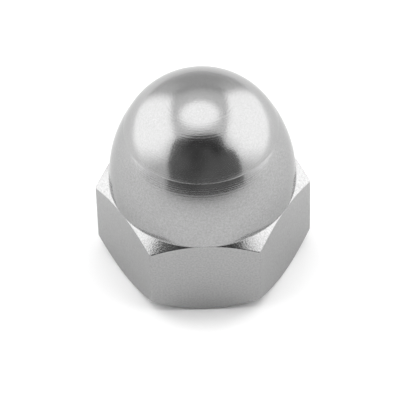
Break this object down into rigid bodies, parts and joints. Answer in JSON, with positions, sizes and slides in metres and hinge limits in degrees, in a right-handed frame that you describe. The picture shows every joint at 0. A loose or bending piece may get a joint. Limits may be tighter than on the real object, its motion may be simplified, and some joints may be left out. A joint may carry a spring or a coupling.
{
  "type": "cap nut",
  "caption": "High domed cap nut: a chamfered hexagon under a tall rounded crown, with a blind threaded hole in its base.",
  "frame": {"origin": "centre of the bearing face, on the axis of the thread", "axes": "+Z along the thread's axis, towards the dome; two corners of the hexagon lie along X, so that flats face -Y and +Y"},
  "size_m": [0.015, 0.013, 0.0151],
  "materials": {
    "steel": "turned stainless steel: the dome satin to bright with fine turned rings, the flats as drawn"
  },
  "bodies": {
    "root": {"cap_nut": "steel"}
  },
  "joints": []
}
